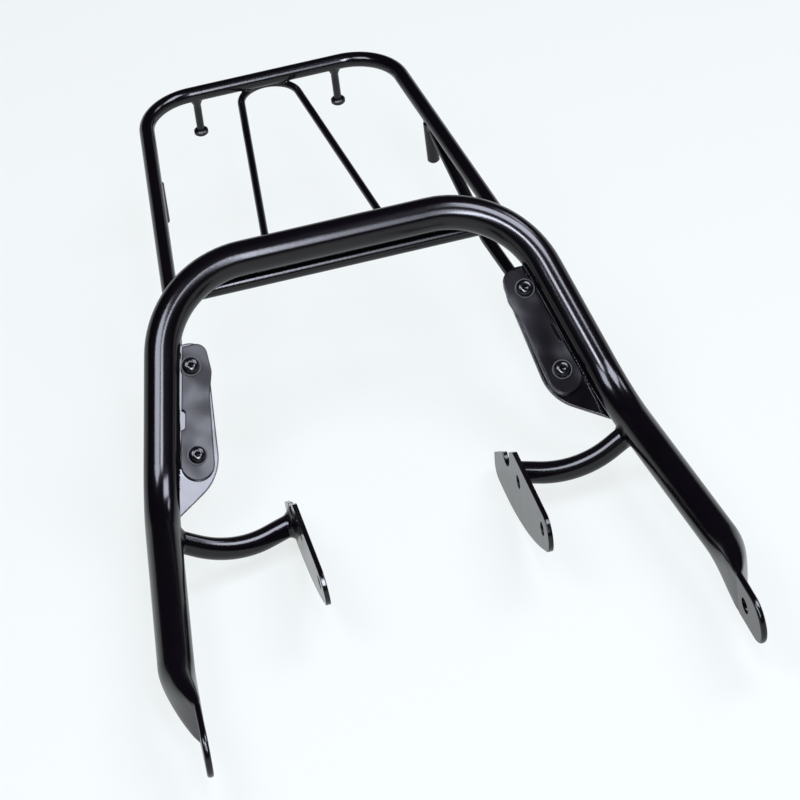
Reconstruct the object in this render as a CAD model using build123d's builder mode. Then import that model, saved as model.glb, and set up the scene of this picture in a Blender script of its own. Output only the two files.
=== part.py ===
"""Motorcycle luggage rack: a bent hoop tube with legs and side plates, and a rod platform bolted to it."""
import math
import os

from build123d import *

# Driving dimensions in millimetres. +X is the rider's left, +Y is to the rear, +Z is up.

# Datum: the deck is the level of the platform's rail axes, and the hoop's cross run sets the place along Y
deck_height = 113.4
hoop_y = 64.9

# Hoop tube: cross run, two legs that slope down to the front, and level lower legs
hoop_tube_d = 22.2
hoop_rise = 19.6
hoop_half_width = 111.0
hoop_corner_radius = 65.0
leg_kink_half_width = 146.7
leg_kink_forward = 110.0
leg_drop = 92.0
leg_kink_radius = 70.0
leg_splay = 8.2

# Flattened front end of each leg, with its fixing hole
crush_start_forward = 258.0
crush_length = 54.0
tongue_thickness = 4.0
tongue_height = 32.0
tongue_toe = 4.0
tongue_inset = 12.0
tongue_hole_d = 10.5
tongue_hole_forward = 324.0
tongue_hole_to_tip = 28.0
tongue_edge_radius = 1.6
crush_stations = (0.0, 0.1, 0.35, 0.6, 0.8, 1.0)
crush_squareness = 6.0

# Gusset plate on the inner side of each leg, in the plane of the hoop
gusset_thickness = 3.0
gusset_depth = 3.5
gusset_rear_v = -44.5
gusset_rear_inset = 28.1
gusset_front_v = -131.5
gusset_front_inset = 38.0
gusset_tip_v = -157.0
gusset_tip_inset = 3.1
gusset_rear_corner_radius = 11.0
gusset_front_corner_radius = 32.0

# Pad plate bolted on top of each gusset
pad_thickness = 3.0
pad_rear_v = -46.5
pad_rear_inner_inset = 27.1
pad_rear_outer_inset = 13.0
pad_shoulder_length = 19.5
pad_waist_length = 33.5
pad_half_width = 10.5
pad_rear_corner_radius = 7.0
pad_shoulder_radius = 12.0
pad_front_past_bolt = 15.5
pad_notch_depth = 2.4
pad_notch_length = 13.0
pad_notch_from_bolt = 33.0

# Button-head bolts, washers and nuts that hold the pads on the gussets
bolt_rear_inset = 18.5
bolt_rear_v = -60.0
bolt_front_inset = 22.8
bolt_front_v = -115.8
bolt_d = 6.0
bolt_clearance = 0.6
bolt_head_d = 11.0
bolt_head_height = 3.8
bolt_head_round = 3.1
bolt_socket_across = 4.0
bolt_socket_depth = 2.0
bolt_socket_point = 0.9
bolt_past_nut = 1.5
washer_d = 12.6
washer_thickness = 1.2
washer_clearance = 0.4
nut_across = 10.0
nut_height = 5.0
thread_clearance = 0.1

# Arm tube from each lower leg in to its side plate
arm_tube_d = 14.0
arm_leg_forward = 138.0
arm_elbow_half_width = 110.0
arm_elbow_forward = 142.0
arm_elbow_drop = 95.4
arm_elbow_radius = 70.0

# Side plate at the inner end of each arm, with two fixing holes and an open notch
plate_thickness = 3.0
plate_half_width = 69.0
plate_lean = 3.0
plate_hole_d = 8.8
plate_hole_forward = 162.0
plate_hole_drop = 74.4
plate_second_hole_forward = 57.7
plate_second_hole_up = 7.8
plate_arm_back = 37.0
plate_arm_down = 21.0
plate_nose_radius = 12.5
plate_nose_forward = 61.0
plate_nose_up = 8.0
plate_heel_radius = 8.0
plate_heel_back = 55.0
plate_heel_down = 31.0
plate_belly_back = 22.0
plate_belly_down = 35.8
plate_top_back = 13.0
plate_top_up = 13.2
plate_rear_back = 63.0
plate_rear_down = 24.0
plate_notch_radius = 10.5
plate_notch_depth = 9.0
plate_notch_from_top = 23.0
plate_top_corner_radius = 3.0

# Platform rail: a rod bent into a U that opens to the front
rail_d = 10.0
rail_rear_back = 215.7
rail_rear_half_width = 82.2
rail_front_inset = 2.5
rail_front_back = -5.0
rail_corner_radius = 35.0

# Crossbar between the rails' front ends
crossbar_d = 10.0
crossbar_back = 1.4
crossbar_cope = 1.2

# Inner loop of thin rod under the rear rail and the crossbar
loop_rod_d = 5.0
loop_crown_radius = 19.4
loop_crown_inset = 15.4
loop_splay = 6.6
loop_front_drop = 2.4

# Depth to which two round rods that cross are let into each other at a weld
weld_sink = 0.3

# Struts: braces from the side pegs, under the rails, down to the undersides of the gussets
strut_d = 8.0
strut_bend_back = 38.0
strut_bend_inset = 0.7
strut_bend_drop = 36.5
strut_bend_radius = 30.0
strut_front_v = -118.0
strut_front_inset = 11.4
strut_cope = 2.0

# Lashing pegs that hang from the rail
peg_shaft_d = 5.0
peg_head_d = 9.4
peg_head_height = 3.8
peg_head_chamfer = 0.9
rear_peg_half_width = 46.9
rear_peg_drop = 32.0
side_peg_d = 8.0
side_peg_back = 127.8
side_peg_inset = 2.0
side_peg_drop = 33.0
side_peg_chamfer = 1.4

# Derived places
deck = Plane.XY.offset(deck_height)
hoop_z = deck_height + hoop_rise
leg_z = hoop_z - leg_drop
hoop_pitch = math.atan2(leg_drop, leg_kink_forward)
slope_back = Vector(0, math.cos(hoop_pitch), math.sin(hoop_pitch))
slope_normal = Vector(0, -math.sin(hoop_pitch), math.cos(hoop_pitch))
hoop_plane = Plane(origin=(0, hoop_y, hoop_z), x_dir=(1, 0, 0), z_dir=slope_normal)
gusset_plane = hoop_plane.offset(-gusset_depth)
pad_top_plane = gusset_plane.offset(pad_thickness)
washer_plane = pad_top_plane.offset(washer_thickness)
nut_plane = gusset_plane.offset(-gusset_thickness)

splay_slope = math.tan(math.radians(leg_splay))
leg_direction = Vector(math.sin(math.radians(leg_splay)), -math.cos(math.radians(leg_splay)), 0)
crush_half_width = leg_kink_half_width + splay_slope * (crush_start_forward - leg_kink_forward)
crush_start = Vector(crush_half_width, hoop_y - crush_start_forward, leg_z)

# The leg's axis in the plane of the hoop, with v along the slope from the cross run
leg_spread = (leg_kink_half_width - hoop_half_width) / math.hypot(leg_kink_forward, leg_drop)
gusset_rear_half_width = hoop_half_width - gusset_rear_v * leg_spread - gusset_rear_inset
gusset_front_half_width = hoop_half_width - gusset_front_v * leg_spread - gusset_front_inset
gusset_tip_half_width = hoop_half_width - gusset_tip_v * leg_spread - gusset_tip_inset
pad_rear_inner = hoop_half_width - pad_rear_v * leg_spread - pad_rear_inner_inset
pad_rear_outer = hoop_half_width - pad_rear_v * leg_spread - pad_rear_outer_inset
bolt_rear_half_width = hoop_half_width - bolt_rear_v * leg_spread - bolt_rear_inset
bolt_front_half_width = hoop_half_width - bolt_front_v * leg_spread - bolt_front_inset
strut_front_half_width = hoop_half_width - strut_front_v * leg_spread - strut_front_inset

tongue_direction = Vector(math.sin(math.radians(tongue_toe)), -math.cos(math.radians(tongue_toe)), 0)
leg_half_width_at_tongue = leg_kink_half_width + splay_slope * (tongue_hole_forward - leg_kink_forward)
tongue_half_width = leg_half_width_at_tongue - tongue_inset
tongue_hole = Vector(tongue_half_width, hoop_y - tongue_hole_forward, leg_z)
tongue_root = tongue_hole_forward - crush_start_forward - crush_length
tongue_inward = tongue_direction.cross(Vector(0, 0, 1))
tongue_plane = Plane(origin=tongue_hole, x_dir=tongue_direction, z_dir=tongue_inward)

rail_front_half_width = hoop_half_width - rail_front_inset
rail_slope = (rail_front_half_width - rail_rear_half_width) / (rail_rear_back - rail_front_back)
strut_rear_half_width = rail_rear_half_width + rail_slope * (rail_rear_back - side_peg_back)
rail_half_width_at_bend = rail_rear_half_width + rail_slope * (rail_rear_back - strut_bend_back)
strut_bend_half_width = rail_half_width_at_bend - strut_bend_inset

lean = math.radians(plate_lean)
plate_normal = Vector(-math.cos(lean), 0, math.sin(lean))
plate_hole = Vector(plate_half_width, hoop_y - plate_hole_forward, deck_height - plate_hole_drop)
plate_plane = Plane(origin=plate_hole, x_dir=(0, -1, 0), z_dir=plate_normal)
plate_outer_plane = plate_plane.offset(-plate_thickness / 2)

bolt_places = [
    (bolt_rear_half_width, bolt_rear_v),
    (bolt_front_half_width, bolt_front_v),
    (-bolt_rear_half_width, bolt_rear_v),
    (-bolt_front_half_width, bolt_front_v),
]
left_bolt_places = bolt_places[:2]

# Tongue of the left leg: flat, upright, with a round nose and the fixing hole
with BuildPart() as leg_tongue:
    with BuildSketch(tongue_plane):
        with BuildLine():
            half_tall = tongue_height / 2
            nose = tongue_hole_to_tip - half_tall
            Polyline(
                (nose, half_tall),
                (-tongue_root, half_tall),
                (-tongue_root, -half_tall),
                (nose, -half_tall),
            )
            ThreePointArc((nose, -half_tall), (tongue_hole_to_tip, 0), (nose, half_tall))
        make_face()
    extrude(amount=tongue_thickness / 2, both=True)
    outer_edges = leg_tongue.faces().filter_by(tongue_plane).edges()
    root_edges = leg_tongue.faces().sort_by(Axis(tongue_hole, tongue_direction))[0].edges()
    fillet([edge for edge in outer_edges if edge not in root_edges], radius=tongue_edge_radius)
    with BuildSketch(tongue_plane):
        Circle(tongue_hole_d / 2)
    extrude(amount=tongue_thickness, both=True, mode=Mode.SUBTRACT)

# Flattened leg ends: the round tube is squeezed from its outer side to the flat upright tongue
with BuildPart() as left_leg_end:
    tube_radius = hoop_tube_d / 2
    half_tall = tongue_height / 2
    upright = Vector(0, 0, 1)
    root_origin = tongue_hole - tongue_direction * tongue_root
    inner_start = crush_start + leg_direction.cross(upright) * tube_radius
    inner_end = root_origin + tongue_direction.cross(upright) * tongue_thickness / 2
    run_forward = leg_direction * (inner_end - inner_start).dot(leg_direction)
    run_aside = inner_end - inner_start - run_forward
    for share in crush_stations:
        ease = math.sin(math.pi / 2 * share) ** 2
        facing = (leg_direction * (1 - share) + tongue_direction * share).normalized()
        thick = hoop_tube_d - (hoop_tube_d - tongue_thickness) * share**1.9
        tall = tube_radius + (half_tall - tube_radius) * ease
        inner_power = 2 / (2 + crush_squareness * share**2.5)
        outer_power = 2 / (2 + crush_squareness * share**3)
        inner_place = inner_start + run_forward * share + run_aside * ease
        centre = inner_place - facing.cross(upright) * thick / 2
        outline = []
        for turn in range(0, 360, 18):
            rise = math.cos(math.radians(turn))
            inward = math.sin(math.radians(turn))
            power = inner_power if inward > 0 else outer_power
            high = tall * math.copysign(abs(rise) ** power, rise)
            wide = thick / 2 * math.copysign(abs(inward) ** power, inward)
            outline.append((high, wide))
        with BuildSketch(Plane(origin=centre, x_dir=upright, z_dir=facing)):
            with BuildLine():
                Spline(*outline, periodic=True)
            make_face()
    loft()
    add(leg_tongue.part)

with BuildPart() as right_leg_end:
    mirror(left_leg_end.part, about=Plane.YZ)

# Hoop tube: the bent round tube from one flattened leg end to the other
with BuildPart() as hoop_tube:
    corner = Vector(hoop_half_width, hoop_y, hoop_z)
    kink = Vector(leg_kink_half_width, hoop_y - leg_kink_forward, leg_z)
    left_side = [crush_start, kink, corner]
    right_side = [Vector(-place.X, place.Y, place.Z) for place in reversed(left_side)]
    with BuildLine() as hoop_path:
        FilletPolyline(
            *left_side,
            *right_side,
            radius=[leg_kink_radius, hoop_corner_radius, hoop_corner_radius, leg_kink_radius],
        )
    with BuildSketch(Plane(origin=crush_start, z_dir=hoop_path.line % 0)):
        Circle(hoop_tube_d / 2)
    sweep(path=hoop_path.line)

# Gusset plates: the outer edge is fitted to the leg
with BuildPart() as left_gusset_plate:
    leg_edge_rear = hoop_half_width - gusset_rear_v * leg_spread
    with BuildSketch(gusset_plane) as gusset_outline:
        Polygon(
            (leg_edge_rear, gusset_rear_v),
            (gusset_rear_half_width, gusset_rear_v),
            (gusset_front_half_width, gusset_front_v),
            (gusset_tip_half_width, gusset_tip_v),
            align=None,
        )
        by_width = gusset_outline.vertices().sort_by(Axis.X)
        fillet(by_width[0], radius=gusset_rear_corner_radius)
        by_depth = gusset_outline.vertices().sort_by_distance((gusset_front_half_width, gusset_front_v))
        fillet(by_depth[0], radius=gusset_front_corner_radius)
        with Locations(*left_bolt_places):
            Circle((bolt_d + bolt_clearance) / 2, mode=Mode.SUBTRACT)
    extrude(amount=-gusset_thickness)
    add(hoop_tube.part, mode=Mode.SUBTRACT)

with BuildPart() as right_gusset_plate:
    mirror(left_gusset_plate.part, about=Plane.YZ)

# Pad plates: widest at the rear, with a waist and a round front end past the second bolt
with BuildPart() as left_pad_plate:
    rear_bolt = Vector(bolt_rear_half_width, bolt_rear_v)
    front_bolt = Vector(bolt_front_half_width, bolt_front_v)
    along = (front_bolt - rear_bolt).normalized()
    outward = Vector(-along.Y, along.X)
    cap_centre = front_bolt + along * (pad_front_past_bolt - pad_half_width)
    cap_outer = cap_centre + outward * pad_half_width
    cap_inner = cap_centre - outward * pad_half_width
    cap_tip = cap_centre + along * pad_half_width
    shoulder = Vector(pad_rear_inner, pad_rear_v - pad_shoulder_length)
    waist = cap_inner + along * ((pad_rear_v - pad_waist_length - cap_inner.Y) / along.Y)
    with BuildSketch(gusset_plane) as pad_outline:
        with BuildLine():
            ThreePointArc(cap_outer, cap_tip, cap_inner)
            Polyline(
                cap_inner,
                waist,
                shoulder,
                (pad_rear_inner, pad_rear_v),
                (pad_rear_outer, pad_rear_v),
                cap_outer,
            )
        make_face()
        rear_corner = pad_outline.vertices().sort_by_distance((pad_rear_inner, pad_rear_v))[0]
        fillet(rear_corner, radius=pad_rear_corner_radius)
        fillet(pad_outline.vertices().sort_by_distance(shoulder)[0], radius=pad_shoulder_radius)
        fillet(pad_outline.vertices().sort_by_distance(waist)[0], radius=pad_shoulder_radius)
        with Locations(*left_bolt_places):
            Circle((bolt_d + bolt_clearance) / 2, mode=Mode.SUBTRACT)
        outer_edge = Vector(pad_rear_outer, pad_rear_v)
        edge_along = (cap_outer - outer_edge).normalized()
        notch_centre = outer_edge + edge_along * (pad_notch_from_bolt + pad_rear_v - bolt_rear_v)
        with Locations(Location(notch_centre, math.degrees(math.atan2(edge_along.Y, edge_along.X)))):
            SlotOverall(pad_notch_length, pad_notch_depth * 2, mode=Mode.SUBTRACT)
    extrude(amount=pad_thickness)
    add(hoop_tube.part, mode=Mode.SUBTRACT)

with BuildPart() as right_pad_plate:
    mirror(left_pad_plate.part, about=Plane.YZ)

# Bolts, washers and nuts, square to the gussets
with BuildPart(washer_plane) as rack_bolts:
    shank_length = washer_thickness + pad_thickness + gusset_thickness + nut_height + bolt_past_nut
    with Locations(*bolt_places):
        Cylinder(bolt_head_d / 2, bolt_head_height, align=(Align.CENTER, Align.CENTER, Align.MIN))
    head_rims = rack_bolts.faces().filter_by(hoop_plane).group_by(Axis((0, 0, 0), slope_normal))[-1].edges()
    fillet(head_rims, radius=bolt_head_round)
    with Locations(*bolt_places):
        Cylinder(bolt_d / 2, shank_length, align=(Align.CENTER, Align.CENTER, Align.MAX))
    with BuildSketch(washer_plane.offset(bolt_head_height)):
        with Locations(*bolt_places):
            RegularPolygon(bolt_socket_across / 2, 6, major_radius=False)
    extrude(amount=-bolt_socket_depth, mode=Mode.SUBTRACT)
    with Locations(*[(across, along, bolt_head_height - bolt_socket_depth) for across, along in bolt_places]):
        Cone(
            0,
            bolt_socket_across / 2,
            bolt_socket_point,
            align=(Align.CENTER, Align.CENTER, Align.MAX),
            mode=Mode.SUBTRACT,
        )

with BuildPart() as bolt_washers:
    with BuildSketch(pad_top_plane):
        with Locations(*bolt_places):
            Circle(washer_d / 2)
            Circle((bolt_d + washer_clearance) / 2, mode=Mode.SUBTRACT)
    extrude(amount=washer_thickness)

with BuildPart() as bolt_nuts:
    with BuildSketch(nut_plane):
        with Locations(*bolt_places):
            RegularPolygon(nut_across / 2, 6, major_radius=False)
            Circle((bolt_d + thread_clearance) / 2, mode=Mode.SUBTRACT)
    extrude(amount=-nut_height)

# Side plates: a leaf-shaped plate with a long straight top edge and a slanting notched rear edge
with BuildPart() as left_arm_plate:
    nose = Vector(plate_nose_forward, plate_nose_up)
    heel = Vector(-plate_heel_back, -plate_heel_down)
    belly = Vector(-plate_belly_back, -plate_belly_down)
    with BuildSketch(plate_plane) as plate_outline:
        with BuildLine() as plate_edge:
            rear = Vector(-plate_rear_back, -plate_rear_down)
            top = Vector(-plate_top_back, plate_top_up)
            nose_top = nose + Vector(0, plate_nose_radius)
            nose_low = nose + Vector(plate_nose_radius, 0).rotate(Axis.Z, -70)
            heel_rear = heel + Vector(-plate_heel_radius, 0)
            heel_low = heel + Vector(0, -plate_heel_radius)
            Polyline(heel_rear, rear, top, nose_top)
            ThreePointArc(nose_top, nose + Vector(plate_nose_radius, 0), nose_low)
            ThreePointArc(nose_low, belly, heel_low)
            ThreePointArc(heel_low, heel + Vector(-plate_heel_radius, 0).rotate(Axis.Z, 45), heel_rear)
        make_face()
        fillet(plate_outline.vertices().sort_by_distance(top)[0], radius=plate_top_corner_radius)
        edge_down = (rear - top).normalized()
        edge_outward = edge_down.rotate(Axis.Z, -90)
        notch_outward = plate_notch_radius - plate_notch_depth
        with Locations(top + edge_down * plate_notch_from_top + edge_outward * notch_outward):
            Circle(plate_notch_radius, mode=Mode.SUBTRACT)
        with Locations((0, 0), (plate_second_hole_forward, plate_second_hole_up)):
            Circle(plate_hole_d / 2, mode=Mode.SUBTRACT)
    extrude(amount=plate_thickness / 2, both=True)

with BuildPart() as right_arm_plate:
    mirror(left_arm_plate.part, about=Plane.YZ)

# Arm tubes: coped to the leg at one end and square on the plate's outer face at the other
with BuildPart() as left_arm_tube:
    arm_start = Vector(
        leg_kink_half_width + splay_slope * (arm_leg_forward - leg_kink_forward),
        hoop_y - arm_leg_forward,
        leg_z,
    )
    arm_elbow = Vector(arm_elbow_half_width, hoop_y - arm_elbow_forward, deck_height - arm_elbow_drop)
    arm_end = plate_outer_plane.from_local_coords(Vector(-plate_arm_back, -plate_arm_down, 0))
    arm_past = arm_end + (arm_end - arm_elbow).normalized() * arm_tube_d
    with BuildLine() as arm_path:
        FilletPolyline(arm_start, arm_elbow, arm_past, radius=arm_elbow_radius)
    with BuildSketch(Plane(origin=arm_start, z_dir=arm_path.line % 0)):
        Circle(arm_tube_d / 2)
    sweep(path=arm_path.line)
    split(bisect_by=plate_outer_plane, keep=Keep.BOTTOM)
    add(hoop_tube.part, mode=Mode.SUBTRACT)

with BuildPart() as right_arm_tube:
    mirror(left_arm_tube.part, about=Plane.YZ)

# Platform rail
with BuildPart() as rack_rail:
    rail_rear_y = hoop_y + rail_rear_back
    rail_front_y = hoop_y + rail_front_back
    with BuildLine(deck) as rail_path:
        FilletPolyline(
            (rail_front_half_width, rail_front_y),
            (rail_rear_half_width, rail_rear_y),
            (-rail_rear_half_width, rail_rear_y),
            (-rail_front_half_width, rail_front_y),
            radius=rail_corner_radius,
        )
    with BuildSketch(Plane(origin=rail_path.line @ 0, z_dir=rail_path.line % 0)):
        Circle(rail_d / 2)
    sweep(path=rail_path.line)
    add(hoop_tube.part, mode=Mode.SUBTRACT)

# Crossbar: its ends are coped to the rails
with BuildPart() as crossbar:
    crossbar_y = hoop_y + crossbar_back
    with BuildSketch(Plane(origin=(0, crossbar_y, deck_height), z_dir=(1, 0, 0))):
        Circle(crossbar_d / 2)
    rail_beside = rail_rear_half_width + rail_slope * (rail_rear_back - crossbar_back)
    extrude(amount=rail_beside - rail_d / 2 + crossbar_cope, both=True)
    add(rack_rail.part, mode=Mode.SUBTRACT)
    add(hoop_tube.part, mode=Mode.SUBTRACT)

# Inner loop: its crown lies under the rear rail and its ends meet the back of the crossbar
with BuildPart() as inner_loop_rod:
    loop_rear_drop = rail_d / 2 + loop_rod_d / 2 - weld_sink
    loop_fall = math.atan2(loop_rear_drop - loop_front_drop, rail_rear_back - crossbar_back)
    loop_level = Plane(
        origin=(0, hoop_y + rail_rear_back, deck_height - loop_rear_drop),
        x_dir=(1, 0, 0),
        z_dir=(0, math.sin(loop_fall), math.cos(loop_fall)),
    )
    loop_turn = math.radians(loop_splay)
    loop_apex_y = loop_crown_radius / math.sin(loop_turn) - loop_crown_inset
    loop_front_y = (crossbar_back - rail_rear_back) / math.cos(loop_fall)
    loop_front_x = (loop_apex_y - loop_front_y) * math.tan(loop_turn)
    with BuildLine(loop_level) as loop_path:
        FilletPolyline(
            (loop_front_x, loop_front_y),
            (0, loop_apex_y),
            (-loop_front_x, loop_front_y),
            radius=loop_crown_radius,
        )
    with BuildSketch(Plane(origin=loop_path.line @ 0, z_dir=loop_path.line % 0)):
        Circle(loop_rod_d / 2)
    sweep(path=loop_path.line)
    add(rack_rail.part, mode=Mode.SUBTRACT)
    add(crossbar.part, mode=Mode.SUBTRACT)

# Side pegs: plain stubs, fitted to the rail at the top
side_peg_x = rail_rear_half_width + rail_slope * (rail_rear_back - side_peg_back) - side_peg_inset
with BuildPart() as side_left_peg:
    with BuildSketch(deck.offset(-side_peg_drop)):
        with Locations((side_peg_x, hoop_y + side_peg_back)):
            Circle(side_peg_d / 2)
    extrude(amount=side_peg_drop - rail_d / 4)
    chamfer(side_left_peg.edges().filter_by(GeomType.CIRCLE).sort_by(Axis.Z)[0], length=side_peg_chamfer)
    add(rack_rail.part, mode=Mode.SUBTRACT)

with BuildPart() as side_right_peg:
    mirror(side_left_peg.part, about=Plane.YZ)

# Struts: from the side pegs, under the rail, down and forward to the underside of the gusset
with BuildPart() as left_strut:
    strut_rear = Vector(
        strut_rear_half_width, hoop_y + side_peg_back, deck_height - rail_d / 2 - strut_d / 2 + strut_cope
    )
    strut_bend = Vector(strut_bend_half_width, hoop_y + strut_bend_back, deck_height - strut_bend_drop)
    strut_front = nut_plane.from_local_coords(Vector(strut_front_half_width, strut_front_v, 0))
    strut_past = strut_front + (strut_front - strut_bend).normalized() * strut_d * 2
    with BuildLine() as strut_path:
        FilletPolyline(strut_rear, strut_bend, strut_past, radius=strut_bend_radius)
    with BuildSketch(Plane(origin=strut_rear, z_dir=strut_path.line % 0)):
        Circle(strut_d / 2)
    sweep(path=strut_path.line)
    split(bisect_by=nut_plane, keep=Keep.BOTTOM)
    add(rack_rail.part, mode=Mode.SUBTRACT)
    add(side_left_peg.part, mode=Mode.SUBTRACT)
    add(hoop_tube.part, mode=Mode.SUBTRACT)

with BuildPart() as right_strut:
    mirror(left_strut.part, about=Plane.YZ)

# Rear pegs: a shaft with a wider foot, fitted to the rail at the top
with BuildPart() as rear_left_peg:
    rear_left_peg_place = (rear_peg_half_width, hoop_y + rail_rear_back)
    with BuildSketch(deck.offset(-rear_peg_drop)):
        with Locations(rear_left_peg_place):
            Circle(peg_head_d / 2)
    extrude(amount=peg_head_height)
    chamfer(rear_left_peg.edges().filter_by(GeomType.CIRCLE), length=peg_head_chamfer)
    with BuildSketch(deck):
        with Locations(rear_left_peg_place):
            Circle(peg_shaft_d / 2)
    extrude(amount=-rear_peg_drop + peg_head_height / 2)
    add(rack_rail.part, mode=Mode.SUBTRACT)

with BuildPart() as rear_right_peg:
    mirror(rear_left_peg.part, about=Plane.YZ)

# Names and files
pieces = {
    "hoop_tube": hoop_tube,
    "left_leg_end": left_leg_end,
    "right_leg_end": right_leg_end,
    "left_gusset_plate": left_gusset_plate,
    "right_gusset_plate": right_gusset_plate,
    "left_arm_tube": left_arm_tube,
    "right_arm_tube": right_arm_tube,
    "left_arm_plate": left_arm_plate,
    "right_arm_plate": right_arm_plate,
    "rack_rail": rack_rail,
    "crossbar": crossbar,
    "inner_loop_rod": inner_loop_rod,
    "left_strut": left_strut,
    "right_strut": right_strut,
    "left_pad_plate": left_pad_plate,
    "right_pad_plate": right_pad_plate,
    "rear_left_peg": rear_left_peg,
    "rear_right_peg": rear_right_peg,
    "side_left_peg": side_left_peg,
    "side_right_peg": side_right_peg,
    "rack_bolts": rack_bolts,
    "bolt_washers": bolt_washers,
    "bolt_nuts": bolt_nuts,
}
os.makedirs("parts", exist_ok=True)
for name, piece in pieces.items():
    piece.part.label = name
    export_step(piece.part, f"parts/{name}.step")
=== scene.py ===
"""Motorcycle luggage rack: enamel, weld beads, a studio stage and the camera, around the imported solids."""
import math
from typing import NamedTuple

import bmesh
import bpy
import numpy as np
from mathutils import Matrix, Vector, noise
from mathutils.bvhtree import BVHTree


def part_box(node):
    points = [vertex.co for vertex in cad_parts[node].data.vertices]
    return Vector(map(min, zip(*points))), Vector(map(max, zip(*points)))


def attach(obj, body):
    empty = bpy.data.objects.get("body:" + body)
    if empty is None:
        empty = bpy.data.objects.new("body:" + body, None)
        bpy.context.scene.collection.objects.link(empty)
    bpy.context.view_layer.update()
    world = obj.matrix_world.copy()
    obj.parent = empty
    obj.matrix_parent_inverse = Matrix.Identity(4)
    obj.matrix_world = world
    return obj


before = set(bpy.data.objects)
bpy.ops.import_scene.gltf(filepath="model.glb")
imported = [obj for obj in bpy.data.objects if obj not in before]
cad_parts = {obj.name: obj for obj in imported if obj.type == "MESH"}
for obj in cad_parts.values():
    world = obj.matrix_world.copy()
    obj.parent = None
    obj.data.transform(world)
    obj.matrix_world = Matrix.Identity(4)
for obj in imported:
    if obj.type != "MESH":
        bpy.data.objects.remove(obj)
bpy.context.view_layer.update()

bl_info = {
    "name": "Motorcycle Luggage Rack",
    "version": (1, 0, 0),
    "blender": (4, 5, 0),
    "location": "View3D > Sidebar > Luggage Rack",
    "description": "Enamels the rack, lays its weld beads and sets up a small studio around it",
    "category": "Object",
}

BODY = "root"
SIDES = ("left", "right")
HALVES = (-1, 1)
TUBES_AND_RODS = (
    "hoop_tube",
    "left_leg_end",
    "right_leg_end",
    "left_arm_tube",
    "right_arm_tube",
    "rack_rail",
    "crossbar",
    "inner_loop_rod",
    "left_strut",
    "right_strut",
)
SIDE_PLATES = ("left_arm_plate", "right_arm_plate")
GUSSETS = ("left_gusset_plate", "right_gusset_plate")
LEFT_PAD = ("left_pad_plate",)
RIGHT_PAD = ("right_pad_plate",)
PEGS = ("rear_left_peg", "rear_right_peg", "side_left_peg", "side_right_peg")
BOLTS = ("rack_bolts",)
WASHERS_AND_NUTS = ("bolt_washers", "bolt_nuts")


class Coat(NamedTuple):
    """One coat: the material's name, its least and greatest roughness, its waves' height and its index."""

    name: str
    smoothest: float
    roughest: float
    wave_height: float = 0.0
    ior: float = 1.5


# Deep black under a clear shine that runs along the tubes in soft streaks
TUBE_COAT = Coat("Gloss black enamel on steel tube", 0.13, 0.20)
# The same black with a dull shine, since the spray reaches the pegs thinly
PEG_COAT = Coat("Satin black enamel on pegs", 0.28, 0.36)
# An even grey shine of the floor on the flat side plates
SIDE_PLATE_COAT = Coat("Gloss black enamel on side plate", 0.12, 0.18, wave_height=0.0005)
# A bright shine broken by the dents of welding
GUSSET_COAT = Coat("Gloss black enamel on gusset", 0.08, 0.13, wave_height=0.0025)
# A dark, quiet face that mirrors little light
LEFT_PAD_COAT = Coat("Satin black enamel on left pad", 0.15, 0.21, wave_height=0.0050, ior=1.4)
# A duller face with grey patches
RIGHT_PAD_COAT = Coat("Satin black enamel on right pad", 0.26, 0.36, wave_height=0.0080, ior=1.4)
# Black domes with small, sharp glints
BOLT_COAT = Coat("Black oxide steel bolts", 0.10, 0.20)
# Plain black rings without glints
WASHER_COAT = Coat("Black oxide steel washers", 0.36, 0.50)

# Enamel that is a little thinner in places, and the grain of blackened steel: width and steps of finer detail
CLOUD_MM, CLOUD_DETAIL = 45, 3.0
GRAIN_MM, GRAIN_DETAIL = 1.5, 4.0
PEEL_DETAIL = 1.0
WAVE_DETAIL = 1.0
# How strongly orange peel, waves and grain tilt the surface, and how high peel and grain stand
PEEL_STRENGTH, PEEL_HEIGHT = 0.5, 0.00003
WAVE_STRENGTH = 0.5
GRAIN_STRENGTH, GRAIN_HEIGHT = 0.3, 0.00004
EDGE_SAMPLES = 6

# A seam's points lie on both pieces, apart from what meshing a curve takes off
SEAM_REACH = 0.0003
SEAM_DIGITS = 6
LEAST_SEAM_POINTS = 3
# Sectors of a ring, each of which gives its outermost point
RING_SECTORS = 48
LEAST_PATH_POINTS = 8
STEPS_PER_RIPPLE = 5
# A bead's corners round its section, and its lumps: their width in ripples and height in radii
BEAD_SIDES = 10
BEAD_LUMP_RIPPLES = 3
BEAD_LUMP = 0.18
# An open bead's size at its ends in radii, and how fast it grows to full size along the bead
BEAD_END = 0.35
BEAD_END_RISE = 6
# A point nearer than this many radii to the axis of its bead's ring has no outward side
BEAD_AXIS = 0.1
# A fillet's corners across its hollow face, and the neighbours on each side that even it out
FILLET_POINTS = 8
FILLET_NEIGHBOURS = 4
# A fillet in shares of its reach: sunk into both pieces, probed for the rod's side, and filled at its heart
FILLET_SUNK = 0.04
FILLET_PROBE = 0.6
FILLET_HEART = 0.14
# A fillet's ripples as a share of a bead's, and its lumps: their width in reaches and height
FILLET_RIPPLE = 0.5
FILLET_LUMP_REACHES = 2
FILLET_LUMP = 0.12

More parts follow.
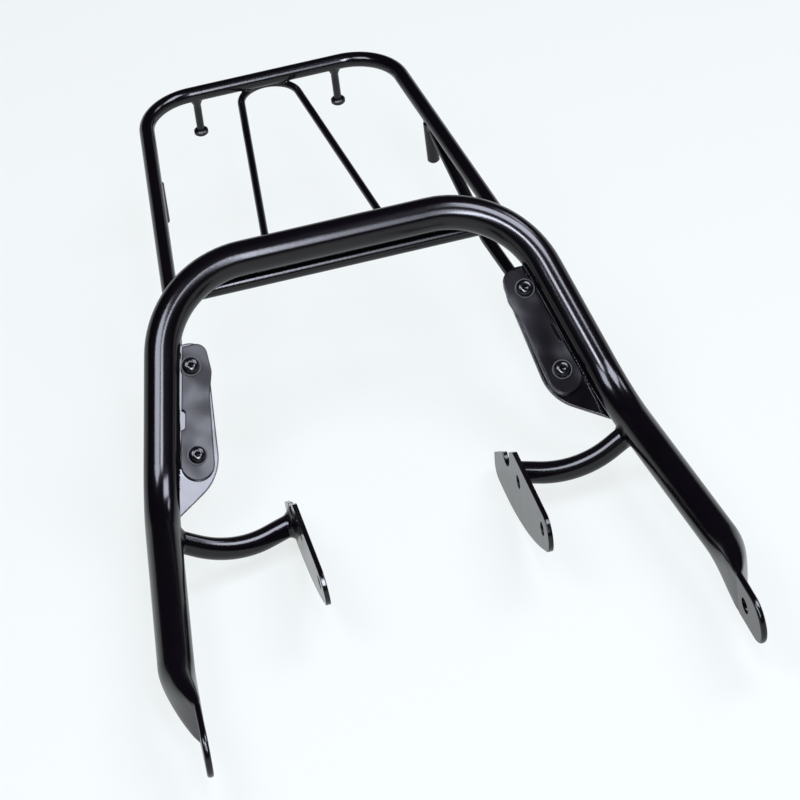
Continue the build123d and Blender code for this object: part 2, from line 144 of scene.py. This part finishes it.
# Each pool of light: place on the ceiling, size across and along, and brightness
SOFTBOXES = {
    "left_softbox": ((-0.74, -0.42), (0.76, 0.66), 12.0),
    "middle_softbox": ((-0.07, -0.80), (0.36, 0.36), 16.0),
    "front_softbox": ((0.00, -1.45), (0.24, 0.90), 34.0),
    "low_softbox": ((0.26, -1.60), (0.26, 1.00), 5.0),
    "right_softbox": ((0.80, -0.10), (0.72, 0.84), 13.0),
    "far_softbox": ((1.50, 0.70), (0.50, 0.40), 7.0),
}
COVE_STEPS = 8
FLOOR_STEPS = 96
FLOOR_MERGE = 1e-5
SENSOR_WIDTH = 36.0
VIEW_DEPTH = 100.0


def linear_colour(hex_code):
    """Turns an sRGB hex colour into the linear values that shaders take."""
    parts = [int(hex_code[i : i + 2], 16) / 255 for i in (1, 3, 5)]
    return tuple(c / 12.92 if c <= 0.04045 else ((c + 0.055) / 1.055) ** 2.4 for c in parts)


class RackFinish(bpy.types.PropertyGroup):
    """Colours and surfaces of the rack."""

    enamel: bpy.props.FloatVectorProperty(
        name="Enamel",
        description="Colour of the black enamel",
        subtype="COLOR",
        default=linear_colour("#040305"),
    )
    enamel_thin: bpy.props.FloatVectorProperty(
        name="Thin enamel",
        description="Colour where the enamel lies a little thinner",
        subtype="COLOR",
        default=linear_colour("#08060A"),
    )
    orange_peel: bpy.props.FloatProperty(
        name="Orange peel",
        description="Width of the sprayed coat's ripples",
        default=0.0028,
        unit="LENGTH",
    )
    plate_wave: bpy.props.FloatProperty(
        name="Plate wave",
        description="Width of the gentle waves that pressing and welding leave in the plates",
        default=0.030,
        unit="LENGTH",
    )
    plate_edge: bpy.props.FloatProperty(
        name="Plate edge",
        description="Radius at which the coat rounds the plates' cut edges",
        default=0.0012,
        unit="LENGTH",
    )
    fastener: bpy.props.FloatVectorProperty(
        name="Fasteners",
        description="Colour of the blackened bolts, washers and nuts",
        subtype="COLOR",
        default=linear_colour("#0B0B0D"),
    )


class RackWelds(bpy.types.PropertyGroup):
    """Sizes of the weld beads."""

    plate_fillet: bpy.props.FloatProperty(
        name="Plate fillet",
        description="Reach of the weld between arm and side plate",
        default=0.0060,
        unit="LENGTH",
    )
    tube_fillet: bpy.props.FloatProperty(
        name="Tube fillet",
        description="Reach of the weld between arm and leg",
        default=0.0036,
        unit="LENGTH",
    )
    peg_fillet: bpy.props.FloatProperty(
        name="Peg fillet",
        description="Reach of the weld from a peg on to the rail",
        default=0.0034,
        unit="LENGTH",
    )
    peg_climb: bpy.props.FloatProperty(
        name="Peg climb",
        description="Length of a peg that its weld runs down",
        default=0.0090,
        unit="LENGTH",
    )
    rod_fillet: bpy.props.FloatProperty(
        name="Rod fillet",
        description="Reach of the weld round a rod's end",
        default=0.0026,
        unit="LENGTH",
    )
    gusset_bead_radius: bpy.props.FloatProperty(
        name="Gusset bead radius",
        description="Radius of a bead along a gusset",
        default=0.0015,
        unit="LENGTH",
    )
    rod_bead_radius: bpy.props.FloatProperty(
        name="Rod bead radius",
        description="Radius of a bead on the thin rods",
        default=0.0010,
        unit="LENGTH",
    )
    tack_radius: bpy.props.FloatProperty(
        name="Tack radius",
        description="Radius of the tacks at the inner loop's crown",
        default=0.0016,
        unit="LENGTH",
    )
    ripple_pitch: bpy.props.FloatProperty(
        name="Ripple pitch",
        description="Distance between the ripples of a bead",
        default=0.0022,
        unit="LENGTH",
    )
    ripple_depth: bpy.props.FloatProperty(
        name="Ripple depth",
        description="Share of the radius by which ripples rise",
        default=0.15,
        subtype="FACTOR",
    )


class RackStage(bpy.types.PropertyGroup):
    """The studio around the rack."""

    floor_colour: bpy.props.FloatVectorProperty(
        name="Floor",
        description="Colour of the floor",
        subtype="COLOR",
        default=linear_colour("#F8FCFB"),
    )
    floor_shade: bpy.props.FloatProperty(
        name="Floor shade",
        description="Share of the lamps' light that the floor gives back",
        default=0.13,
    )
    floor_radius: bpy.props.FloatProperty(
        name="Floor radius",
        description="Distance from the rack to the cove",
        default=7.0,
        unit="LENGTH",
    )
    cove_height: bpy.props.FloatProperty(
        name="Cove height",
        description="Height of the wall that the floor turns up into",
        default=1.2,
        unit="LENGTH",
    )
    floor_glow: bpy.props.FloatProperty(
        name="Floor glow",
        description="Whiteness that the floor shows apart from the lamps",
        default=0.79,
    )
    floor_mirrored: bpy.props.FloatProperty(
        name="Mirrored floor",
        description="Share of that whiteness that the enamel mirrors",
        default=0.72,
    )
    room_light: bpy.props.FloatProperty(
        name="Room light",
        description="Brightness of the dim room above the lamps",
        default=0.015,
    )
    lamp_colour: bpy.props.FloatVectorProperty(
        name="Lamps",
        description="Colour of the softboxes' light",
        subtype="COLOR",
        default=linear_colour("#E6EAFB"),
    )
    lamp_height: bpy.props.FloatProperty(
        name="Lamp height",
        description="Height of the softboxes above the floor",
        default=1.5,
        unit="LENGTH",
    )
    camera_offset: bpy.props.FloatVectorProperty(
        name="Camera offset",
        description="Place of the camera from the back and top of the hoop's cross run",
        default=(-0.3687, -2.5092, 1.8324),
        subtype="TRANSLATION",
        unit="LENGTH",
    )
    azimuth: bpy.props.FloatProperty(
        name="Azimuth",
        description="Turn of the view to the right",
        default=math.radians(9.005),
        subtype="ANGLE",
    )
    elevation: bpy.props.FloatProperty(
        name="Elevation",
        description="Fall of the view",
        default=math.radians(38.088),
        subtype="ANGLE",
    )
    roll: bpy.props.FloatProperty(
        name="Roll",
        description="Lean of the camera",
        default=math.radians(-7.644),
        subtype="ANGLE",
    )
    lens: bpy.props.FloatProperty(
        name="Lens",
        description="Focal length in millimetres",
        default=225.0,
        subtype="DISTANCE_CAMERA",
    )


def new_material(name):
    """Makes an empty node material and returns it with its output node."""
    material = bpy.data.materials.new(name)
    material.use_nodes = True
    material.node_tree.nodes.clear()
    return material, add_node(material.node_tree, "ShaderNodeOutputMaterial")


def add_node(tree, kind, values=None, links=None, **settings):
    """Adds a node with its settings, its sockets' values and the outputs that feed them."""
    node = tree.nodes.new(kind)
    for name, value in settings.items():
        setattr(node, name, value)
    for socket, value in (values or {}).items():
        node.inputs[socket].default_value = value
    for socket, source in (links or {}).items():
        tree.links.new(source, node.inputs[socket])
    return node


def per_metre(millimetres):
    """Gives the texture scale at which one cell of a pattern is that many millimetres across."""
    return 1000 / millimetres


# Black enamel on tube and rod: a deep, slightly violet black under the fine ripple of a sprayed, baked coat
def black_enamel(finish, coat):
    material, output = new_material(coat.name)
    tree = material.node_tree
    place = add_node(tree, "ShaderNodeTexCoord")
    cloud = add_node(
        tree,
        "ShaderNodeTexNoise",
        {"Scale": per_metre(CLOUD_MM), "Detail": CLOUD_DETAIL},
        {"Vector": place.outputs["Object"]},
    )
    tint = add_node(
        tree,
        "ShaderNodeMix",
        {"A": (*finish.enamel, 1), "B": (*finish.enamel_thin, 1)},
        {"Factor": cloud.outputs["Fac"]},
        data_type="RGBA",
    )
    shine = add_node(
        tree,
        "ShaderNodeMapRange",
        {"To Min": coat.smoothest, "To Max": coat.roughest},
        {"Value": cloud.outputs["Fac"]},
    )
    peel = add_node(
        tree,
        "ShaderNodeTexNoise",
        {"Scale": per_metre(finish.orange_peel * 1000), "Detail": PEEL_DETAIL},
        {"Vector": place.outputs["Object"]},
    )
    bump = add_node(
        tree,
        "ShaderNodeBump",
        {"Strength": PEEL_STRENGTH, "Distance": PEEL_HEIGHT},
        {"Height": peel.outputs["Fac"]},
    )
    shader = add_node(
        tree,
        "ShaderNodeBsdfPrincipled",
        {"IOR": coat.ior},
        {
            "Base Color": tint.outputs["Result"],
            "Roughness": shine.outputs["Result"],
            "Normal": bump.outputs["Normal"],
        },
    )
    tree.links.new(shader.outputs["BSDF"], output.inputs["Surface"])
    return material


# Black enamel on plate: the same coat, with the slow waves and softened edges of cut and welded plate
def black_plate(finish, coat):
    material, output = new_material(coat.name)
    tree = material.node_tree
    place = add_node(tree, "ShaderNodeTexCoord")
    wave = add_node(
        tree,
        "ShaderNodeTexNoise",
        {"Scale": per_metre(finish.plate_wave * 1000), "Detail": WAVE_DETAIL},
        {"Vector": place.outputs["Object"]},
    )
    tint = add_node(
        tree,
        "ShaderNodeMix",
        {"A": (*finish.enamel, 1), "B": (*finish.enamel_thin, 1)},
        {"Factor": wave.outputs["Fac"]},
        data_type="RGBA",
    )
    shine = add_node(
        tree,
        "ShaderNodeMapRange",
        {"To Min": coat.smoothest, "To Max": coat.roughest},
        {"Value": wave.outputs["Fac"]},
    )
    edge = add_node(tree, "ShaderNodeBevel", {"Radius": finish.plate_edge}, samples=EDGE_SAMPLES)
    bump = add_node(
        tree,
        "ShaderNodeBump",
        {"Strength": WAVE_STRENGTH, "Distance": coat.wave_height},
        {"Height": wave.outputs["Fac"], "Normal": edge.outputs["Normal"]},
    )
    shader = add_node(
        tree,
        "ShaderNodeBsdfPrincipled",
        {"IOR": coat.ior},
        {
            "Base Color": tint.outputs["Result"],
            "Roughness": shine.outputs["Result"],
            "Normal": bump.outputs["Normal"],
        },
    )
    tree.links.new(shader.outputs["BSDF"], output.inputs["Surface"])
    return material


# Black oxide steel: dipped fasteners, a plain black, its grain drawn coarser than the real one so as to show
def black_oxide_steel(finish, coat):
    material, output = new_material(coat.name)
    tree = material.node_tree
    place = add_node(tree, "ShaderNodeTexCoord")
    grain = add_node(
        tree,
        "ShaderNodeTexNoise",
        {"Scale": per_metre(GRAIN_MM), "Detail": GRAIN_DETAIL},
        {"Vector": place.outputs["Object"]},
    )
    shine = add_node(
        tree,
        "ShaderNodeMapRange",
        {"To Min": coat.smoothest, "To Max": coat.roughest},
        {"Value": grain.outputs["Fac"]},
    )
    bump = add_node(
        tree,
        "ShaderNodeBump",
        {"Strength": GRAIN_STRENGTH, "Distance": GRAIN_HEIGHT},
        {"Height": grain.outputs["Fac"]},
    )
    shader = add_node(
        tree,
        "ShaderNodeBsdfPrincipled",
        {"Base Color": (*finish.fastener, 1)},
        {"Roughness": shine.outputs["Result"], "Normal": bump.outputs["Normal"]},
    )
    tree.links.new(shader.outputs["BSDF"], output.inputs["Surface"])
    return material


# Matt white paper: lamps throw soft shadows on it, and what sees or mirrors it also sees its own whiteness
def matt_white_paper(stage):
    material, output = new_material("Matt white paper")
    tree = material.node_tree
    rays = add_node(tree, "ShaderNodeLightPath")
    mirrored = add_node(
        tree,
        "ShaderNodeMath",
        links={0: rays.outputs["Is Glossy Ray"], 1: rays.outputs["Is Transmission Ray"]},
        operation="MAXIMUM",
    )
    dimmed = add_node(
        tree,
        "ShaderNodeMath",
        {1: stage.floor_mirrored},
        {0: mirrored.outputs[0]},
        operation="MULTIPLY",
    )
    seen = add_node(
        tree,
        "ShaderNodeMath",
        links={0: rays.outputs["Is Camera Ray"], 1: dimmed.outputs[0]},
        operation="MAXIMUM",
    )
    strength = add_node(
        tree,
        "ShaderNodeMath",
        {1: stage.floor_glow},
        {0: seen.outputs[0]},
        operation="MULTIPLY",
    )
    shaded = [stage.floor_shade * c for c in stage.floor_colour]
    paper = add_node(tree, "ShaderNodeBsdfDiffuse", {"Color": (*shaded, 1)})
    glow = add_node(
        tree,
        "ShaderNodeEmission",
        {"Color": (*stage.floor_colour, 1)},
        {"Strength": strength.outputs[0]},
    )
    both = add_node(
        tree,
        "ShaderNodeAddShader",
        links={0: paper.outputs["BSDF"], 1: glow.outputs["Emission"]},
    )
    tree.links.new(both.outputs[0], output.inputs["Surface"])
    return material


def dress(names, material):
    """Gives solids of the frame one material."""
    for name in names:
        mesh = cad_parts[name].data
        mesh.materials.clear()
        mesh.materials.append(material)


def spread_axes(points):
    """Gives the middle of some points and the directions of their widest, middle and narrowest spread."""
    rows = np.array([tuple(p) for p in points])
    middle = rows.mean(0)
    axes = np.linalg.svd(rows - middle)[2]
    return Vector(middle), [Vector(axis) for axis in axes]


def skin(name):
    """Gives a solid's surface for finding its nearest place and how that faces."""
    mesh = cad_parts[name].data
    return BVHTree.FromPolygons([v.co for v in mesh.vertices], [p.vertices for p in mesh.polygons])


def seam_points(name, other):
    """Finds where a solid's corners lie on another solid."""
    tree = skin(other)
    found = {}
    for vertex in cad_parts[name].data.vertices:
        if tree.find_nearest(vertex.co, SEAM_REACH)[0] is not None:
            found[tuple(round(c, SEAM_DIGITS) for c in vertex.co)] = vertex.co.copy()
    if len(found) < LEAST_SEAM_POINTS:
        raise RuntimeError(f"{name} doesn't meet {other}")
    return list(found.values())


def ring_around(points):
    """Puts the outermost points of a seam round a rod's end in order, as a closed path."""
    middle, (wide, mid, _) = spread_axes(points)
    turned = []
    for point in points:
        away = point - middle
        x, y = away.dot(wide), away.dot(mid)
        turned.append((math.atan2(y, x), math.hypot(x, y), point))
    turned.sort(key=lambda row: row[0])
    path = []
    for step in range(RING_SECTORS):
        start = -math.pi + step * math.tau / RING_SECTORS
        inside = [row for row in turned if start <= row[0] < start + math.tau / RING_SECTORS]
        if inside:
            path.append(max(inside, key=lambda row: row[1])[2])
    return path


def line_along(points):
    """Puts the points of a straight seam in order, as an open path."""
    middle, axes = spread_axes(points)
    return sorted(points, key=lambda p: (p - middle).dot(axes[0]))


def even_path(path, closed, step):
    """Resamples a path at even steps and gives its length too."""
    corners = path + path[:1] if closed else path
    lengths = [0.0]
    for a, b in zip(corners, corners[1:]):
        lengths.append(lengths[-1] + (b - a).length)
    count = max(LEAST_PATH_POINTS, round(lengths[-1] / step))
    places = np.linspace(0, lengths[-1], count, endpoint=not closed)
    rows = np.array([tuple(p) for p in corners])
    return [Vector([np.interp(s, lengths, rows[:, k]) for k in range(3)]) for s in places], lengths[-1]


def stitch(mesh, rings, closed):
    """Joins rings of corners into a tube, which is shut at both ends where its run is open."""
    pairs = list(zip(rings, rings[1:]))
    if closed:
        pairs.append((rings[-1], rings[0]))
    for ring, following in pairs:
        for side in range(len(ring)):
            beside = (side + 1) % len(ring)
            mesh.faces.new((ring[side], ring[beside], following[beside], following[side]))
    if not closed:
        mesh.faces.new(list(reversed(rings[0])))
        mesh.faces.new(rings[-1])


def lay_bead(mesh, path, closed, radius, welds):
    """Adds one rippled bead along a path to a mesh under construction."""
    points, length = even_path(path, closed, welds.ripple_pitch / STEPS_PER_RIPPLE)
    ripples = max(1, round(length / welds.ripple_pitch))
    middle = sum(points, Vector()) / len(points)
    count = len(points)
    rings = []
    for index, point in enumerate(points):
        before = points[index - 1] if closed or index else point
        after = points[(index + 1) % count] if closed or index < count - 1 else point
        along = (after - before).normalized()
        away = point - middle
        away -= along * away.dot(along)
        if away.length < radius * BEAD_AXIS or not closed:
            away = along.orthogonal()
        away.normalize()
        across = along.cross(away)
        share = index / count if closed else index / (count - 1)
        ripple = math.sqrt(abs(math.sin(math.pi * ripples * share)))
        lump = noise.noise(point / (BEAD_LUMP_RIPPLES * welds.ripple_pitch))
        size = radius * (1 + welds.ripple_depth * (ripple - 0.5) + BEAD_LUMP * lump)
        if not closed:
            size *= min(1.0, BEAD_END + BEAD_END_RISE * min(share, 1 - share))
        ring = []
        for side in range(BEAD_SIDES):
            turn = math.tau * side / BEAD_SIDES
            outward = away * math.cos(turn) + across * math.sin(turn)
            ring.append(mesh.verts.new(point + outward * size))
        rings.append(ring)
    stitch(mesh, rings, closed)


def evened(rows):
    """Averages each row of a closed run with its neighbours."""
    shifts = range(-FILLET_NEIGHBOURS, FILLET_NEIGHBOURS + 1)
    return sum(np.roll(rows, shift, axis=0) for shift in shifts) / len(shifts)


def lay_fillet(mesh, path, rod, other, climb, reach, welds):
    """Adds a hollow weld round a rod's end, from the rod's side out on to the piece that it meets."""
    points, length = even_path(path, True, welds.ripple_pitch / STEPS_PER_RIPPLE)
    ripples = round(length / welds.ripple_pitch)
    rod_skin, other_skin = skin(rod), skin(other)
    count = len(points)
    sunk = FILLET_SUNK * reach
    rows = []
    for index, point in enumerate(points):
        along = (points[(index + 2) % count] - points[index - 2]).normalized()
        facing = other_skin.find_nearest(point)[1]
        side = rod_skin.find_nearest(point + facing * reach * FILLET_PROBE)[1]
        rise = along.cross(side)
        rise *= math.copysign(1, rise.dot(facing))
        spread = along.cross(facing)
        spread *= math.copysign(1, spread.dot(side))
        ripple = abs(math.sin(math.pi * ripples * index / count))
        lump = noise.noise(point / (FILLET_LUMP_REACHES * reach))
        size = 1 + welds.ripple_depth * (ripple - 0.5) * FILLET_RIPPLE + FILLET_LUMP * lump
        top = rod_skin.find_nearest(point + rise * climb * size)[0] - side * sunk
        foot = other_skin.find_nearest(point + spread * reach * size)[0] - facing * sunk
        heart = point + (rise * climb + spread * reach) * size * FILLET_HEART
        root = point - (side + facing) * sunk
        rows.append((*top, *heart, *foot, *root))
    rings = []
    for row in evened(np.array(rows)):
        top, heart, foot, root = (Vector(row[k : k + 3]) for k in (0, 3, 6, 9))
        ring = [mesh.verts.new(root)]
        for share in np.linspace(0, 1, FILLET_POINTS):
            rest = 1 - share
            ring.append(mesh.verts.new(top * rest**2 + heart * 2 * share * rest + foot * share**2))
        rings.append(ring)
    stitch(mesh, rings, True)


def weld_piece(name, fillets, beads, welds):
    """Makes one piece of the hollow welds round rod ends and the plain beads along seams."""
    mesh = bmesh.new()
    for path, rod, other, climb, reach in fillets:
        lay_fillet(mesh, path, rod, other, climb, reach, welds)
    for path, closed, radius in beads:
        lay_bead(mesh, path, closed, radius, welds)
    bmesh.ops.recalc_face_normals(mesh, faces=mesh.faces)
    data = bpy.data.meshes.new(name)
    mesh.to_mesh(data)
    mesh.free()
    data.polygons.foreach_set("use_smooth", [True] * len(data.polygons))
    data.materials.append(bpy.data.materials[TUBE_COAT.name])
    piece = bpy.data.objects.new(name, data)
    bpy.context.scene.collection.objects.link(piece)
    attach(piece, BODY)


class RACK_OT_enamel_tubes(bpy.types.Operator):
    """Enamel the hoop, the arms, the rods and the pegs"""

    bl_idname = "rack.enamel_tubes"
    bl_label = "Enamel Tubes and Rods"

    def execute(self, context):
        finish = context.scene.rack_finish
        dress(TUBES_AND_RODS, black_enamel(finish, TUBE_COAT))
        dress(PEGS, black_enamel(finish, PEG_COAT))
        return {"FINISHED"}


class RACK_OT_enamel_plates(bpy.types.Operator):
    """Enamel the side plates, the gussets and the pads"""

    bl_idname = "rack.enamel_plates"
    bl_label = "Enamel Plates"

    def execute(self, context):
        finish = context.scene.rack_finish
        dress(SIDE_PLATES, black_plate(finish, SIDE_PLATE_COAT))
        dress(GUSSETS, black_plate(finish, GUSSET_COAT))
        dress(LEFT_PAD, black_plate(finish, LEFT_PAD_COAT))
        dress(RIGHT_PAD, black_plate(finish, RIGHT_PAD_COAT))
        return {"FINISHED"}


class RACK_OT_blacken_fasteners(bpy.types.Operator):
    """Blacken the bolts, washers and nuts"""

    bl_idname = "rack.blacken_fasteners"
    bl_label = "Blacken Fasteners"

    def execute(self, context):
        finish = context.scene.rack_finish
        dress(BOLTS, black_oxide_steel(finish, BOLT_COAT))
        dress(WASHERS_AND_NUTS, black_oxide_steel(finish, WASHER_COAT))
        return {"FINISHED"}


class RACK_OT_weld_arms(bpy.types.Operator):
    """Weld the arms to the legs and to the side plates"""

    bl_idname = "rack.weld_arms"
    bl_label = "Weld Arms"

    def execute(self, context):
        welds = context.scene.rack_welds
        fillets = []
        for side in SIDES:
            arm = f"{side}_arm_tube"
            for other, reach in (("hoop_tube", welds.tube_fillet), (f"{side}_arm_plate", welds.plate_fillet)):
                fillets.append((ring_around(seam_points(arm, other)), arm, other, reach, reach))
        weld_piece("arm_welds", fillets, [], welds)
        return {"FINISHED"}


class RACK_OT_weld_gussets(bpy.types.Operator):
    """Weld the gussets to the legs, above and below"""

    bl_idname = "rack.weld_gussets"
    bl_label = "Weld Gussets"

    def execute(self, context):
        welds = context.scene.rack_welds
        beads = []
        for name in GUSSETS:
            middle, axes = spread_axes([v.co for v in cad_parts[name].data.vertices])
            points = seam_points(name, "hoop_tube")
            for half in HALVES:
                edge = [p for p in points if half * (p - middle).dot(axes[2]) > 0]
                beads.append((line_along(edge), False, welds.gusset_bead_radius))
        weld_piece("gusset_welds", [], beads, welds)
        return {"FINISHED"}


class RACK_OT_weld_platform(bpy.types.Operator):
    """Weld the crossbar, the inner loop, the struts and the pegs to the rail"""

    bl_idname = "rack.weld_platform"
    bl_label = "Weld Platform"

    def execute(self, context):
        welds = context.scene.rack_welds
        fillets = []
        beads = []
        for peg in PEGS:
            ring = ring_around(seam_points(peg, "rack_rail"))
            fillets.append((ring, peg, "rack_rail", welds.peg_climb, welds.peg_fillet))
        for name, other in (("crossbar", "rack_rail"), ("inner_loop_rod", "crossbar")):
            points = seam_points(name, other)
            for half in HALVES:
                end = [p for p in points if half * p.x > 0]
                fillets.append((ring_around(end), name, other, welds.rod_fillet, welds.rod_fillet))
        crown = seam_points("inner_loop_rod", "rack_rail")
        for half in HALVES:
            beads.append((ring_around([p for p in crown if half * p.x > 0]), True, welds.tack_radius))
        for side in SIDES:
            for other in ("rack_rail", f"{side}_gusset_plate"):
                points = seam_points(f"{side}_strut", other)
                beads.append((ring_around(points), True, welds.rod_bead_radius))
        weld_piece("platform_welds", fillets, beads, welds)
        return {"FINISHED"}


class RACK_OT_stage(bpy.types.Operator):
    """Lay the floor and its cove, hang the softboxes, set the camera and dim the room"""

    bl_idname = "rack.stage"
    bl_label = "Set Stage"

    def execute(self, context):
        stage = context.scene.rack_stage
        self.lay_floor(context, stage)
        self.hang_softboxes(context, stage)
        self.set_camera(context, stage)
        self.dim_room(context, stage)
        return {"FINISHED"}

    def lay_floor(self, context, stage):
        """Turns a floor and a rounded cove round the upright axis."""
        outline = [(0.0, 0.0), (stage.floor_radius, 0.0)]
        bend = stage.cove_height / 2
        for step in range(1, COVE_STEPS + 1):
            turn = step / COVE_STEPS * math.pi / 2
            outline.append((stage.floor_radius + bend * math.sin(turn), bend * (1 - math.cos(turn))))
        outline.append((stage.floor_radius + bend, stage.cove_height))
        mesh = bmesh.new()
        corners = [mesh.verts.new((x, 0, z)) for x, z in outline]
        edges = [mesh.edges.new(pair) for pair in zip(corners, corners[1:])]
        bmesh.ops.spin(
            mesh,
            geom=corners + edges,
            cent=(0, 0, 0),
            axis=(0, 0, 1),
            angle=math.tau,
            steps=FLOOR_STEPS,
            use_merge=True,
        )
        bmesh.ops.remove_doubles(mesh, verts=mesh.verts, dist=FLOOR_MERGE)
        bmesh.ops.recalc_face_normals(mesh, faces=mesh.faces)
        data = bpy.data.meshes.new("studio_floor")
        mesh.to_mesh(data)
        mesh.free()
        data.materials.append(matt_white_paper(stage))
        floor = bpy.data.objects.new("studio_floor", data)
        context.scene.collection.objects.link(floor)

    def hang_softboxes(self, context, stage):
        """Hangs each softbox and turns it to the rack."""
        for name, (place, size, brightness) in SOFTBOXES.items():
            lamp = bpy.data.lights.new(name, "AREA")
            lamp.shape = "RECTANGLE"
            lamp.size, lamp.size_y = size
            lamp.energy = brightness * math.pi * size[0] * size[1]
            lamp.color = stage.lamp_colour
            holder = bpy.data.objects.new(name, lamp)
            holder.location = (*place, stage.lamp_height)
            holder.rotation_euler = (-holder.location).to_track_quat("-Z", "Y").to_euler()
            holder.visible_camera = False
            context.scene.collection.objects.link(holder)

    def set_camera(self, context, stage):
        """Puts the camera where the hoop's cross run is seen as in the picture."""
        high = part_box("hoop_tube")[1]
        place = Vector((0, high.y, high.z)) + Vector(stage.camera_offset)
        data = bpy.data.cameras.new("camera")
        data.lens = stage.lens
        data.sensor_width = SENSOR_WIDTH
        data.clip_end = VIEW_DEPTH
        camera = bpy.data.objects.new("camera", data)
        turn = Matrix.Rotation(-stage.azimuth, 3, "Z")
        fall = Matrix.Rotation(math.pi / 2 - stage.elevation, 3, "X")
        lean = Matrix.Rotation(stage.roll, 3, "Z")
        camera.matrix_world = Matrix.LocRotScale(place, turn @ fall @ lean, None)
        context.scene.collection.objects.link(camera)
        context.scene.camera = camera

    def dim_room(self, context, stage):
        """Lights the room above the lamps dimly and keeps the plain view of colours."""
        world = bpy.data.worlds.new("dim_room")
        world.use_nodes = True
        background = world.node_tree.nodes["Background"]
        background.inputs["Color"].default_value = (1, 1, 1, 1)
        background.inputs["Strength"].default_value = stage.room_light
        context.scene.world = world
        context.scene.view_settings.view_transform = "Standard"


class RACK_PT_panel(bpy.types.Panel):
    """Lists the steps that finish the rack and the values that they use"""

    bl_idname = "RACK_PT_panel"
    bl_label = "Luggage Rack"
    bl_space_type = "VIEW_3D"
    bl_region_type = "UI"
    bl_category = "Luggage Rack"

    def draw(self, context):
        for step in STEPS:
            self.layout.operator(step.bl_idname)
        for name, group in GROUPS.items():
            for value in group.__annotations__:
                self.layout.prop(getattr(context.scene, name), value)


STEPS = (
    RACK_OT_enamel_tubes,
    RACK_OT_enamel_plates,
    RACK_OT_blacken_fasteners,
    RACK_OT_weld_arms,
    RACK_OT_weld_gussets,
    RACK_OT_weld_platform,
    RACK_OT_stage,
)
GROUPS = {"rack_finish": RackFinish, "rack_welds": RackWelds, "rack_stage": RackStage}


def register():
    """Adds the values, the steps and the panel to Blender."""
    for group in GROUPS.values():
        bpy.utils.register_class(group)
    for step in STEPS:
        bpy.utils.register_class(step)
    bpy.utils.register_class(RACK_PT_panel)
    for name, group in GROUPS.items():
        setattr(bpy.types.Scene, name, bpy.props.PointerProperty(type=group))


def unregister():
    """Takes the panel, the steps and the values out of Blender."""
    for name in GROUPS:
        delattr(bpy.types.Scene, name)
    bpy.utils.unregister_class(RACK_PT_panel)
    for step in reversed(STEPS):
        bpy.utils.unregister_class(step)
    for group in reversed(GROUPS.values()):
        bpy.utils.unregister_class(group)


def main():
    """Finishes the rack step by step."""
    register()
    bpy.ops.rack.enamel_tubes()
    bpy.ops.rack.enamel_plates()
    bpy.ops.rack.blacken_fasteners()
    bpy.ops.rack.weld_arms()
    bpy.ops.rack.weld_gussets()
    bpy.ops.rack.weld_platform()
    bpy.ops.rack.stage()


if __name__ == "__main__":
    main()
